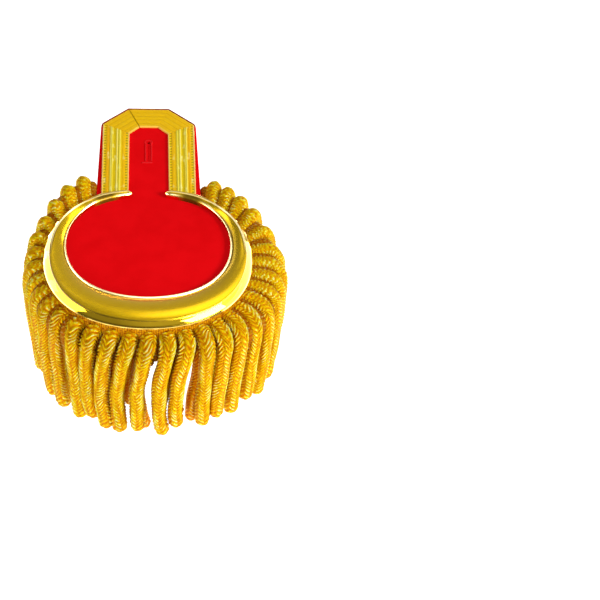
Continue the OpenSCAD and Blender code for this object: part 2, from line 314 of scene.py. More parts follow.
class Nodes:
    """The nodes of a material or a world."""

    def __init__(self, owner, shader_type="BSDF_PRINCIPLED"):
        owner.use_nodes = True
        self.owner = owner
        self.tree = owner.node_tree
        self.shader = next(n for n in self.tree.nodes if n.type == shader_type)

    def add(self, kind, *values, **settings):
        """A new node, with values or links for its first sockets."""
        node = self.tree.nodes.new(kind)
        for key, value in settings.items():
            setattr(node, key, value)
        for socket, value in zip(node.inputs, values):
            self.feed(socket, value)
        return node

    def feed(self, socket, value):
        """Links a socket, or sets it to a value."""
        if isinstance(value, bpy.types.NodeSocket):
            self.tree.links.new(value, socket)
        else:
            socket.default_value = value

    def fill(self, node, **values):
        """Sets or links a node's sockets. A name's underscores stand for spaces."""
        for key, value in values.items():
            self.feed(node.inputs[key.replace("_", " ")], value)
        return node

    def set(self, **values):
        self.fill(self.shader, **values)

    def math(self, operation, a, b=0.0, clamp=False):
        return self.add("ShaderNodeMath", a, b, operation=operation, use_clamp=clamp).outputs[0]

    def wave(self, value, length):
        return self.math("SINE", self.math("MULTIPLY", value, 2 * math.pi / length))

    def attribute(self, name, output="Fac"):
        return self.add("ShaderNodeAttribute", attribute_name=name).outputs[output]

    def split(self, vector):
        return self.add("ShaderNodeSeparateXYZ", vector).outputs

    def scaled(self, vector, factors):
        return self.add("ShaderNodeVectorMath", vector, factors, operation="MULTIPLY").outputs[0]

    def position(self):
        """Position in the object, in millimetres."""
        return self.scaled(self.add("ShaderNodeTexCoord").outputs["Object"], (1 / MM,) * 3)

    def noise(self, vector, scale, detail=2.0, roughness=0.5):
        node = self.add("ShaderNodeTexNoise")
        self.fill(node, Vector=vector, Scale=scale, Detail=detail, Roughness=roughness)
        return node.outputs["Fac"]

    def ramp(self, value, stops):
        """Colour for a value, from pairs of place and colour."""
        node = self.add("ShaderNodeValToRGB", value)
        elements = node.color_ramp.elements
        while len(elements) < len(stops):
            elements.new(0.5)
        for element, (place, colour) in zip(elements, stops):
            element.position = place
            element.color = (*colour, 1.0)
        return node.outputs[0]

    def band(self, value, low, high, to_low=0.0, to_high=1.0):
        """Value mapped between ranges, and kept inside."""
        return self.add("ShaderNodeMapRange", value, low, high, to_low, to_high).outputs[0]

    def mix(self, factor, a, b):
        """Colour between two sockets or colours."""
        node = self.add("ShaderNodeMix", factor, data_type="RGBA")
        for socket, value in ((node.inputs[6], a), (node.inputs[7], b)):
            self.feed(socket, value if isinstance(value, bpy.types.NodeSocket) else (*value, 1.0))
        return node.outputs[2]

    def bump(self, height, distance, strength=1.0, below=None):
        """Bump in millimetres, on top of another one."""
        node = self.add("ShaderNodeBump")
        self.fill(node, Strength=strength, Distance=distance * MM, Height=height)
        if below is not None:
            self.feed(node.inputs["Normal"], below)
        return node.outputs[0]


def new_material(name):
    return Nodes(bpy.data.materials.new(name))


def cloth_material():
    nodes = new_material("red_felt")
    at = nodes.position()
    broad = nodes.noise(at, 0.09, 3.0)
    fibres = nodes.noise(at, 2.6, 4.0, 0.65)
    tone = nodes.mix(nodes.band(broad, 0.35, 0.65), (0.68, 0.0012, 0.0030), (0.75, 0.0020, 0.0045))
    colour = nodes.mix(nodes.band(fibres, 0.3, 0.7, 0.0, 0.5), tone, (0.80, 0.005, 0.007))
    # Painted shade: the cloth turned up round the collar end is painted dark, as shade beside the lace
    welt_shade = nodes.band(nodes.split(at)[2], BOARD_T + 0.1, BOARD_T + 0.5, 0.0, 0.9)
    colour = nodes.mix(welt_shade, colour, (0.20, 0.010, 0.006))
    nodes.set(Base_Color=colour, Roughness=0.95, Specular_IOR_Level=0.02)
    nodes.set(Normal=nodes.bump(fibres, 0.12, 0.6))
    return nodes.owner


def stitch_material():
    nodes = new_material("red_thread")
    at = nodes.position()
    strands = nodes.noise(at, 5.0, 3.0)
    height = nodes.band(nodes.split(at)[2], BOARD_T + 0.18, BOARD_T + 0.4)
    worked = nodes.mix(strands, (0.76, 0.010, 0.014), (0.86, 0.030, 0.034))
    nodes.set(Base_Color=nodes.mix(height, (0.70, 0.002, 0.004), worked))
    nodes.set(Roughness=0.8, Specular_IOR_Level=0.06, Normal=nodes.bump(strands, 0.08, 0.6))
    return nodes.owner


def brass_material():
    """Paler for wear and for painted reflections, darker for tarnish and for painted shade and dark
    reflections; softer where pale, dark or rubbed.
    """
    nodes = new_material("polished_brass")
    worn, tarnish, rubbed = (nodes.attribute(name) for name in ("worn", "tarnish", "rubbed"))
    wear = nodes.noise(nodes.position(), 0.25, 5.0, 0.6)
    fine = nodes.noise(nodes.position(), 1.6, 3.0)
    colour = nodes.mix(nodes.band(wear, 0.35, 0.7), (0.92, 0.56, 0.006), (0.94, 0.60, 0.008))
    # Painted reflection: pale along the lip and edges, where they would mirror the bright panels, with
    # some wear
    colour = nodes.mix(worn, colour, (1.0, 0.86, 0.44))
    # Painted shade and dark reflections, with some tarnish: dark lines and patches over the crescent
    colour = nodes.mix(tarnish, colour, (0.12, 0.07, 0.004))
    dull = nodes.math("MULTIPLY", nodes.math("ADD", worn, tarnish, clamp=True), 0.32)
    gloss = nodes.math("ADD", nodes.band(wear, 0.3, 0.7, 0.03, 0.06), dull)
    gloss = nodes.math("ADD", gloss, nodes.math("MULTIPLY", rubbed, 0.15))
    nodes.set(Base_Color=colour, Metallic=1.0, Roughness=gloss)
    nodes.set(Coat_Weight=nodes.band(rubbed, 0.0, 1.0, 0.4, 0.08), Coat_Roughness=0.03)
    nodes.set(Normal=nodes.bump(fine, 0.003, 0.12))
    return nodes.owner


def tongue_material():
    nodes = new_material("plain_brass")
    at = nodes.scaled(nodes.position(), (4.0, 0.12, 4.0))
    grain = nodes.noise(at, 1.0, 4.0)
    stain = nodes.noise(nodes.position(), 0.2, 4.0)
    colour = nodes.mix(nodes.band(stain, 0.35, 0.65), (0.40, 0.25, 0.07), (0.55, 0.38, 0.12))
    nodes.set(Base_Color=colour, Metallic=1.0, Roughness=nodes.band(grain, 0.3, 0.7, 0.3, 0.45))
    nodes.set(Normal=nodes.bump(grain, 0.02, 0.4))
    return nodes.owner


def bullion_material(name, green, bright=1.0):
    """Painted shade: less green makes a copy warmer and less bright makes it darker, for the row that
    hangs behind and the thin cords between the strands.
    """
    nodes = new_material(name)
    coil = nodes.attribute("coil", "Vector")
    # Loose wires break up the ridges
    fuzz = nodes.noise(nodes.scaled(coil, (1.1, 1.1, 2.2)), 1.0, 3.0, 0.6)
    loose = nodes.band(fuzz, 0.3, 0.7, -0.3, 0.3)
    ridge = nodes.math("ADD", nodes.attribute("ridge"), loose, clamp=True)
    # Columns: height on the ridge, red, green, blue. The valleys are painted dark as shade and the
    # crests pale as highlights
    tints = (
        (0.0, 0.68, 0.19, 0.001), (0.3, 0.84, 0.40, 0.001), (0.55, 0.93, 0.66, 0.001),
        (0.75, 0.98, 0.84, 0.008), (0.92, 1.0, 1.0, 0.34 * green),
    )
    colour = nodes.ramp(ridge, [(at, (r * bright, g * green * bright, b)) for at, r, g, b in tints])
    # Painted glints: pale flecks on the crests
    flecks = nodes.noise(nodes.scaled(coil, (0.9, 0.9, 2.6)), 1.0, 1.0)
    glint = nodes.math("MULTIPLY", nodes.band(flecks, 0.60, 0.68), nodes.band(ridge, 0.5, 0.8))
    colour = nodes.mix(glint, colour, (bright, 0.96 * bright, 0.48 * bright))
    stain = nodes.noise(nodes.scaled(coil, (0.4, 0.4, 0.9)), 1.0, 2.0)
    stained = (0.82 * bright, 0.40 * green * bright, 0.001)
    colour = nodes.mix(nodes.band(stain, 0.5, 0.75, 0.0, 0.6), colour, stained)
    nodes.set(Base_Color=colour, Metallic=0.55, Roughness=0.38, Specular_IOR_Level=0.15)
    nodes.set(Specular_Tint=(1.0, 0.8, 0.25, 1.0))
    wires = nodes.wave(nodes.split(coil)[2], 1 / WIRES_PER_RIDGE)
    relief = nodes.bump(wires, 0.05, 0.5)
    nodes.set(Normal=nodes.bump(flecks, 0.35, 0.7, relief))
    return nodes.owner


def heading_material():
    nodes = new_material("heading_wire")
    ridge = nodes.attribute("ridge")
    fleck = nodes.noise(nodes.position(), 0.9, 2.0)
    # Painted shade: the heading is dark, as shade under the crescent
    colour = nodes.ramp(ridge, [
        (0.0, (0.34, 0.07, 0.001)), (0.5, (0.66, 0.23, 0.001)), (1.0, (0.88, 0.44, 0.002)),
    ])
    # Painted shade: darker flecks, as shade between the strand tops
    colour = nodes.mix(nodes.band(fleck, 0.48, 0.62, 0.0, 0.8), colour, (0.30, 0.05, 0.001))
    nodes.set(Base_Color=colour, Metallic=0.4, Roughness=0.45, Specular_IOR_Level=0.15)
    nodes.set(Normal=nodes.bump(fleck, 0.2, 0.5))
    return nodes.owner


# Lace across a leg. Columns: distance from the outer edge, height, colour. The rib tops are painted pale
# as highlights and the hollows between them dark as shade
LEG_BANDS = np.array([
    (0.0, 0.62, 1.0, 0.58, 0.16), (0.35, 0.95, 1.0, 0.72, 0.24), (0.75, 0.9, 1.0, 0.66, 0.099),
    (1.0, 0.8, 0.86, 0.58, 0.004), (1.5, 0.84, 0.98, 0.7, 0.01), (2.05, 0.78, 0.84, 0.52, 0.004),
    (2.4, 0.9, 0.94, 0.54, 0.002), (3.3, 0.98, 0.96, 0.46, 0.001), (4.1, 0.88, 0.82, 0.44, 0.001),
    (4.45, 1.05, 0.96, 0.76, 0.03), (4.9, 1.28, 1.0, 0.92, 0.2), (5.3, 1.12, 0.56, 0.46, 0.03),
    (5.7, 1.28, 1.0, 0.86, 0.09), (6.2, 1.0, 0.84, 0.62, 0.006), (6.8, 0.88, 0.72, 0.52, 0.002),
    (7.6, 0.9, 0.8, 0.58, 0.003), (8.0, 1.05, 0.94, 0.72, 0.02), (8.45, 1.28, 1.0, 0.95, 0.28),
    (8.9, 1.18, 0.98, 0.74, 0.04), (9.3, 1.02, 0.42, 0.38, 0.03), (9.7, 1.2, 0.92, 0.76, 0.03),
    (10.25, 1.26, 1.0, 0.9, 0.12), (10.8, 1.0, 0.82, 0.6, 0.006), (11.3, 0.86, 0.84, 0.5, 0.002),
    (12.4, 0.98, 0.98, 0.56, 0.002), (13.3, 0.88, 0.92, 0.52, 0.002), (13.7, 0.78, 0.84, 0.56, 0.004),
    (14.2, 0.84, 0.98, 0.7, 0.01), (14.7, 0.8, 0.9, 0.6, 0.01), (15.05, 0.94, 1.0, 0.68, 0.2),
    (15.5, 0.6, 1.0, 0.52, 0.14),
])
# The same across the corners and the collar end, by parts of the width
END_BANDS = np.array([
    (0.0, 0.62, 1.0, 0.6, 0.072), (0.03, 0.92, 1.0, 0.68, 0.054), (0.07, 0.86, 0.92, 0.54, 0.004),
    (0.18, 0.92, 0.95, 0.56, 0.002), (0.21, 0.86, 0.79, 0.42, 0.001), (0.24, 0.92, 0.95, 0.57, 0.002),
    (0.37, 0.93, 0.92, 0.54, 0.002), (0.4, 0.86, 0.75, 0.42, 0.001), (0.43, 0.93, 0.92, 0.56, 0.002),
    (0.57, 0.93, 0.95, 0.57, 0.002), (0.6, 0.86, 0.75, 0.42, 0.001), (0.63, 0.93, 0.92, 0.54, 0.002),
    (0.78, 0.93, 0.95, 0.56, 0.002), (0.81, 0.86, 0.77, 0.42, 0.001), (0.84, 0.92, 0.92, 0.54, 0.002),
    (0.93, 0.86, 0.95, 0.54, 0.009), (0.965, 0.94, 1.0, 0.68, 0.09), (1.0, 0.6, 1.0, 0.52, 0.09),
])


def lace_material():
    """Attribute place holds the distance across and along, and 1 on a leg."""
    nodes = new_material("gold_lace")
    colour = nodes.attribute("thread", "Color")
    place = nodes.attribute("place", "Vector")
    across_lace, along_lace, on_leg = nodes.split(place)
    weave = nodes.math("MULTIPLY", nodes.wave(along_lace, 0.36), nodes.wave(across_lace, 0.5))
    patches = nodes.noise(nodes.scaled(place, (1.3, 0.28, 1.0)), 1.0, 3.0)
    colour = nodes.mix(nodes.band(patches, 0.45, 0.75, 0.0, 0.35), colour, (0.92, 0.62, 0.02))
    colour = nodes.mix(nodes.band(weave, -1.0, 1.0, 0.15, 0.0), colour, (0.60, 0.32, 0.002))
    # Painted glints on the legs
    shine = nodes.noise(nodes.scaled(place, (0.4, 0.11, 1.0)), 1.0, 2.0)
    bright = nodes.math("MULTIPLY", nodes.band(shine, 0.58, 0.70, 0.0, 0.6), on_leg)
    colour = nodes.mix(bright, colour, (1.0, 0.95, 0.32))
    nodes.set(Base_Color=colour, Metallic=0.1, Roughness=0.42, Specular_IOR_Level=0.06)
    relief = nodes.bump(weave, 0.06, 0.6)
    nodes.set(Normal=nodes.bump(patches, 0.15, 0.35, relief))
    return nodes.owner


# Cloth board


def rounded(corner, before, after, radius, steps=5):
    start = corner + unit(before - corner) * radius
    end = corner + unit(after - corner) * radius
    share = np.linspace(0.0, 1.0, steps)[:, None]
    return (1 - share) ** 2 * start + 2 * share * (1 - share) * corner + share ** 2 * end


def board_outline():
    # The angle where the round field meets the strap, by halving
    low, high = 120.0, 170.0
    for _ in range(40):
        t = (low + high) / 2
        x, y, _z = rim(t, BOARD_INSET)
        share = (y - LACE_START_Y) / (SHOULDER_Y - LACE_START_Y)
        strap_x = STRAP_BASE_HALF_W + (STRAP_HALF_W - STRAP_BASE_HALF_W) * share
        low, high = (t, high) if x > strap_x else (low, t)
    steps = 240
    curve = [rim(low * (2 * k / steps - 1), BOARD_INSET)[:2] for k in range(steps + 1)]
    shoulder = np.array([STRAP_HALF_W, SHOULDER_Y])
    collar = np.array([END_HALF_W + CLOTH_MARGIN / 2, LACE_REACH + CLOTH_MARGIN])
    right = np.vstack([
        rounded(shoulder, curve[-1], collar, 1.6),
        rounded(collar, shoulder, collar * (-1, 1), 0.6),
    ])
    left = right[::-1] * (-1, 1)
    return np.vstack([curve, right, left])


def keyhole_outline(half):
    """Clockwise, from half the width of the slit."""
    meet = math.degrees(math.asin(half / EYE_R))
    arc = [[-EYE_R * sin(a), EYE_Y - EYE_R * cos(a)] for a in np.linspace(meet, 360 - meet, 28)]
    low = EYE_Y - SLIT_L
    end = [[half, low + 0.2], [half * 0.5, low], [-half * 0.5, low], [-half, low + 0.2]]
    side = [[-half, low + SLIT_L * k / 6] for k in range(1, 6)]
    return np.array(end + side + arc + [[-x, y] for x, y in reversed(side)])


def inset_loop(loop, distance):
    """A closed loop moved to its left by a distance."""
    before = unit_rows(loop - np.roll(loop, 1, 0))
    both = before + np.roll(before, -1, 0)
    normal = np.stack([-both[:, 1], both[:, 0]], -1)
    square = np.maximum((normal ** 2).sum(1) / 2, 0.5)
    return loop + normal * (distance / square)[:, None]


def welt(y, z):
    """How far the cloth turned up round the collar end stands above the board."""
    return WELT_RISE * smooth(y, SHOULDER_Y - 2, SHOULDER_Y + 1) * smooth(z, BOARD_T / 2, BOARD_T - 0.2)


def board_loops():
    """The board's skin, upwards. The last loop lies inside the welt."""
    edge = [
        (BOARD_EDGE_R * (1 - sin(a)), BOARD_EDGE_R * (1 - cos(a))) for a in (0, 22.5, 45, 67.5, 90)
    ]
    profile = edge + [(inset, BOARD_T - z) for inset, z in reversed(edge)]
    outline = board_outline()
    loops = [[(x, y, z + welt(y, z)) for x, y in inset_loop(outline, inset)] for inset, z in profile]
    return loops + [[(x, y, BOARD_T) for x, y in inset_loop(outline, BOARD_EDGE_R + 0.06)]]


def slit_loops():
    # The cloth turned into the slit meets just below the surface
    wide, shut = SLIT_W / 5, 0.004
    walls = [(wide + 0.1, 0.0), (wide, 0.15), (shut, 0.4)]
    walls += [(shut, BOARD_T / 2)] + [(half, BOARD_T - z) for half, z in reversed(walls)]
    loops = []
    for half, z in walls:
        # A kink half way down lets no light pass
        kink = SLIT_KINK if z == BOARD_T / 2 else 0.0
        loops.append([(x + kink * (y < EYE_Y - EYE_R), y, z) for x, y in keyhole_outline(half)])
    return loops


def make_board(material):
    mesh = bmesh.new()
    ends = {0: [], -1: []}
    for loops in (board_loops(), slit_loops()):
        rings = [[mesh.verts.new((x * MM, y * MM, z * MM)) for x, y, z in loop] for loop in loops]
        for lower, upper in zip(rings, rings[1:]):
            for (a, b), (c, d) in zip(neighbours(lower), neighbours(upper)):
                mesh.faces.new((a, b, d, c))
        for end, edges in ends.items():
            edges += [mesh.edges.get(pair) for pair in neighbours(rings[end])]
    for end, edges in ends.items():
        bmesh.ops.triangle_fill(mesh, use_beauty=True, edges=edges, normal=(0, 0, -1 if end == 0 else 1))
    bmesh.ops.recalc_face_normals(mesh, faces=mesh.faces)
    data = bpy.data.meshes.new("board")
    mesh.to_mesh(data)
    mesh.free()
    piece = add_piece("board", data)
    piece.data.set_sharp_from_angle(angle=math.radians(50))
    finish_piece(piece, "red_cloth", material, "cloth_board")


# Buttonhole stitching


def capsule(start, end, r, sides=6):
    start, end = np.array(start, float), np.array(end, float)
    axis = unit(end - start)
    u = unit(np.cross(axis, UP))
    v = np.cross(axis, u)
    steps = [(-0.9, 0.45), (-0.4, 0.9), (0.0, 1.0)]
    rings = [(start + axis * r * d, r * size) for d, size in steps]
    rings += [(end - axis * r * d, r * size) for d, size in reversed(steps)]
    angles = np.arange(sides) * 2 * math.pi / sides
    circle = np.cos(angles)[:, None] * u + np.sin(angles)[:, None] * v
    return tube([centre + size * circle for centre, size in rings])


def slit_stitches(z):
    """Threads across the slit's edges, with knots. Rows: start, end, radius."""
    pitch = 0.46
    low = EYE_Y - SLIT_L + 0.4
    threads = []
    for side in (-1, 1):
        for k in range(int((SLIT_L - 2.2) / pitch)):
            y = low + k * pitch
            bow = 0.05 * sin(97 * k + 40 * side)
            end, knot = side * (1.85 + bow), side * (1.7 + bow)
            threads.append(((side * 0.3, y, z - 0.14), (end, y + 0.04, z - 0.12), 0.2))
            threads.append(((knot, y - 0.1, z + 0.12), (knot, y + 0.3, z + 0.12), 0.26))
    return threads


def eye_stitches(z):
    count, first, sweep = 27, -46, 272
    centre = np.array([0.0, EYE_Y, z])
    threads = []
    for k in range(count):
        a = first + k * sweep / (count - 1)
        direction = np.array([cos(a), sin(a), 0.0])
        across = np.array([-sin(a), cos(a), 0.0])
        knot = centre + direction * 2.15 + UP * 0.1
        threads.append((centre + direction * 1.3, centre + direction * 2.25, 0.19))
        threads.append((knot - across * 0.12, knot + across * 0.12, 0.23))
    return threads


def bar_stitches(z):
    threads = []
    for k in range(15):
        x = -3.6 + k * 0.39
        y = EYE_Y - SLIT_L - 1.4 + 0.06 * sin(131 * k)
        threads.append(((x, y - 0.34, z + 0.08), (x + 0.05, y + 0.34, z + 0.08), 0.26))
    return threads


def make_stitches(material):
    z = BOARD_T + 0.08
    threads = slit_stitches(z) + eye_stitches(z) + bar_stitches(z)
    points, faces = joined([capsule(*thread) for thread in threads])
    finish_piece(add_mesh("buttonhole_stitches", points, faces), "red_cloth", material)


# Lace


def lace_section(outer, inner, bands, scale, rows, ends, foot=None):
    """Top of a stretch of lace between the near and far ends of its edges, where it drops by ends.
    A leg starts at a foot and has dotted edges. Returns points, colours, places, rows, columns."""
    places = bands[:, 0] * scale
    columns = np.unique(np.concatenate([places, (places[1:] + places[:-1]) / 2]))
    height = np.interp(columns, places, bands[:, 1])
    colours = np.stack([np.interp(columns, places, band) for band in bands.T[2:]], -1)
    width = places[-1]
    on_leg = foot is not None
    points, colour, place = [], [], []
    for k in range(rows):
        for d, rise, tint in zip(columns, height, colours):
            u = d / width
            far = outer[1] * (1 - u) + inner[1] * u
            near = outer[0] * (1 - u) + inner[0] * u
            if on_leg:
                near = np.array([near[0], foot(near[0])])
            at = near + (far - near) * (k / (rows - 1))
            length = np.linalg.norm(far - near)
            s = k / (rows - 1) * length
            edge = min(d, width - d)
            beat = math.cos(2 * math.pi * (at[1] + 0.5 * at[0] * (not on_leg)) / DOT_PITCH)
            if on_leg and 0.9 < edge < 2.1:
                rise -= 0.16 * max(0.0, beat)
                tint = tint * (1 - 0.62 * max(0.0, beat) ** 0.7)
            if edge < 0.3:
                # The very edge is scalloped
                rise += 0.06 * beat
                sideways = unit(outer[1] - outer[0])
                flip = 1 if d < width / 2 else -1
                at = at + flip * 0.05 * beat * np.array([sideways[1], -sideways[0]])
            for end, drop in zip((s, length - s), ends):
                rise -= drop * (1 - smooth(end, 0.0, 0.45))
                if drop == SEAM:
                    tint = tint * (1 - 0.55 * (1 - smooth(end, 0.1, 0.5)))
            points.append([at[0], at[1], BOARD_T + GAP + rise])
            colour.append(tint)
            place.append([d, s, float(on_leg)])
    return np.array(points), np.array(colour), np.array(place), rows, len(columns)


def lace_solid(top, rows, columns, mirrored):
    """A stretch of lace, from the points of its top down to the cloth."""
    bottom = top.copy()
    bottom[:, 2] = BOARD_T + GAP
    count = rows * columns
    quads = np.array(grid_faces(rows, columns, False))
    upper = quads if mirrored else quads[:, ::-1]
    faces = upper.tolist() + (upper[:, ::-1] + count).tolist()
    grid = np.arange(count).reshape(rows, columns)
    border = np.concatenate([grid[0], grid[1:, -1], grid[-1, -2::-1], grid[-2:0:-1, 0]])
    for a, b in neighbours(border.tolist()):
        face = [a, b, b + count, a + count]
        faces.append(face[::-1] if mirrored else face)
    return np.vstack([top, bottom]), faces


def make_lace(material):
    rear = np.array([crescent_edge(t)[:2] for t in np.linspace(120, 180, 200)])
    order = np.argsort(rear[:, 0])

    def foot(x):
        return float(np.interp(abs(x), rear[order, 0], rear[order, 1])) + 0.3

    outer = np.array([
        (LACE_BASE_HALF_W, LACE_START_Y), (LACE_HALF_W, SHOULDER_Y), (END_HALF_W, LACE_REACH),
    ])
    inner = np.array([
        (INNER_HALF_W, LACE_START_Y), (INNER_HALF_W, INNER_SHOULDER_Y),
        (INNER_END_HALF_W, LACE_REACH - LACE_END_W),
    ])
    outer_left, inner_left = outer * (-1, 1), inner * (-1, 1)
    leg = {"bands": LEG_BANDS, "scale": 1.0, "rows": 190, "ends": (0.0, FOLD), "foot": foot}
    corner = {"bands": END_BANDS, "scale": LACE_CORNER_W, "rows": 60}
    across = {"bands": END_BANDS, "scale": LACE_END_W, "rows": 60, "ends": (LOW_FOLD, SEAM)}
    sections = [
        lace_section(outer[:2], inner[:2], **leg),
        lace_section(outer[1:], inner[1:], ends=(0.0, LOW_FOLD), **corner),
        lace_section([outer[2], outer_left[2]], [inner[2], inner_left[2]], **across),
        lace_section(outer_left[1:], inner_left[1:], ends=(0.0, SEAM), **corner),
        lace_section(outer_left[:2], inner_left[:2], **leg),
    ]
    solids, colours, places = [], [], []
    for number, (top, colour, place, rows, columns) in enumerate(sections):
        solids.append(lace_solid(top, rows, columns, mirrored=number >= 3))
        # The bottom points are darker, so the lace's sides are painted in shade down to the cloth
        colours += [colour, colour * 0.7]
        places += [place, place]
    points, faces = joined(solids)
    piece = add_mesh("lace", points, faces, thread=np.vstack(colours), place=np.vstack(places))
    piece.data.set_sharp_from_angle(angle=math.radians(60))
    finish_piece(piece, "gold_lace", material, "lace_border")


# Crescent. Columns of a section's rows: distance from the inner edge, height, how pale from wear and
# painted reflection, how dark from tarnish and painted shade, and how rubbed the metal is

# The rolled lip. Columns: part of its width, part of its height, how pale from wear and painted
# reflection
LIP_ROLL = [
    (0.0, 0.55, 0.0), (0.03, 0.78, 0.5), (0.12, 0.93, 1.0), (0.26, 1.0, 1.0),
    (0.42, 0.99, 1.0), (0.60, 0.93, 1.0), (0.80, 0.84, 1.0), (0.94, 0.76, 0.7),
]
# The groove behind it. Columns: part of the valley's width, how dark from tarnish and painted shade
GROOVE = [(0.84, 0.8), (0.90, 1.0), (0.97, 0.8)]


def lip_rows(valley):
    lip_w = 0.78 * valley
    # Painted shade at the foot and inner wall of the lip, and a painted reflection on its pale top
    rows = [[0.0, 0.05, 0.0, 0.7, 0.0]]
    rows += [
        [lip_w * x, LIP_H * h, worn, 0.6 - worn if worn < 0.6 else 0.0, 0.0] for x, h, worn in LIP_ROLL
    ]
    return rows + [[valley * x, VALLEY_H * 0.92, 0.0, tarnish, 0.0] for x, tarnish in GROOVE]


def dome(f, face_w):
    """Height of the broad face at fraction f of its width."""
    return VALLEY_H + (CREASE_H - VALLEY_H) * f + 4 * BULGE * face_w * f * (1 - f)


def face_rows(t, valley, face_w):
    """The broad face is rubbed. Painted dark reflections lie along its inner edge on +X, along its outer
    edge on -X and along its foot; on the back a painted reflection pales its outer edge, with a painted
    dark line inside it, and at the front the crease is painted dark.
    """
    back = smooth(abs(t), 84, 100)
    inner_dark = 0.85 * smooth(t, 50, 85)
    inner_reach = 0.3 + 0.35 * smooth(t, 96, 116)
    outer_dark = 0.6 * smooth(-t, 20, 50) * (1 - smooth(-t, 100, 130))
    rows = []
    for f in np.linspace(0.0, 1.0, 27):
        to_crease = face_w * (1 - f)
        worn = back * (1 - smooth(to_crease, 0.7, 0.9))
        inside = smooth(to_crease, 0.7, 0.9) * (1 - smooth(to_crease, 1.2, 1.9))
        dark = 0.4 * (f == 0.0) + 0.7 * back * inside + 0.6 * (1 - back) * (to_crease < 0.3)
        dark += inner_dark * (1 - smooth(f, 0.0, inner_reach)) + outer_dark * smooth(f, 0.72, 1.0)
        rows.append([valley + face_w * f, dome(f, face_w), worn, min(1.0, dark), 1.0])
    return rows


def flank_rows(t, w, valley, bead):
    """A narrow step, then a flank that steepens down to the base edge. The step and the top of the flank
    are painted dark, with a painted dark line low on the front, as shade and dark reflections; the base
    edge is painted pale, as a reflection.
    """
    step_w, step_h = 0.24 * valley, 0.38 * valley
    top = w - bead + step_w
    flank_w, flank_h = bead - step_w, CREASE_H - step_h - BASE_H
    rows = [[top, CREASE_H - step_h, 0.0, 1.0, 0.0]]
    for f in np.linspace(0.06, 1.0, 18):
        height = BASE_H + flank_h * (1 - (0.72 * f + 0.28 * f ** 4))
        line = 0.7 * math.exp(-((f - 0.86) / 0.06) ** 2) * (1 - smooth(abs(t), 24, 44))
        tarnish = 0.5 * (1 - smooth(f, 0.0, 0.14)) + line
        rows.append([top + flank_w * f, height, 0.3 * smooth(f, 0.85, 1.0), tarnish, 0.0])
    return rows + [[w, 0.2, 0.5, 0.0, 0.0]]


def underside(t, w, face_w):
    """From the outer edge: hollow, and closed towards the tips."""
    hollow = 1 - smooth(abs(t), 144, 156)
    side = min(WALL, w / 8)
    start = max(VALLEY_W, 2 * side)
    roof = [[w - 1.5 * side, 0.4 * CREASE_H]]
    roof += [[start + face_w * f, dome(f, face_w) - WALL] for f in (1.0, 0.8, 0.6, 0.4, 0.2)]
    roof = np.array(roof + [[side, VALLEY_H - WALL]])
    n = len(roof)
    floor = np.array([[w - side - (w - 2 * side) * (k + 0.5) / n, 0.0] for k in range(n)])
    return np.vstack([
        [[w, 0.0], [w - side, 0.0]],
        floor * (1 - hollow) + roof * hollow,
        [[side, 0.0], [0.0, 0.0]],
    ])


def crescent_section(t, w):
    """Points from the inner edge over the top and back along the underside of a section w wide,
    and how pale (wear and painted reflection), dark (tarnish and painted shade) and rubbed each is."""
    valley = min(VALLEY_W, 0.3 * w)
    bead = min(BEAD_W + BEAD_SIDE_W * sin(t) ** 2, 0.4 * w)
    face_w = w - valley - bead
    rows = np.array(lip_rows(valley) + face_rows(t, valley, face_w) + flank_rows(t, w, valley, bead))
    top, (worn, tarnish, rubbed) = rows[:, :2], rows[:, 2:].T
    # Towards the tips the section turns into a plain arch
    plain = smooth(abs(t), 126, 148)
    x = np.clip(top[:, 0] / w, 0, 1)
    arch = CREASE_H * (0.32 + 0.6 * np.maximum(0.0, 4 * x * (1 - x)) ** 0.32)
    top[1:-1, 1] = top[1:-1, 1] * (1 - plain) + arch[1:-1] * plain
    # There the inner side is painted dark, as a dark reflection, and made rough; only the end shines
    dull = smooth(abs(t), 142, 151) * (1 - smooth(abs(t), 158, 166)) * (x < 0.42)
    worn = worn * (1 - 0.3 * plain) * (1 - dull)
    tarnish = np.maximum(tarnish * (1 - plain), dull)
    under = underside(t, w, face_w)
    finish = np.stack([worn, tarnish, np.maximum(rubbed, dull)], -1)
    return np.vstack([top, under]), np.vstack([finish, np.zeros((len(under), 3))])


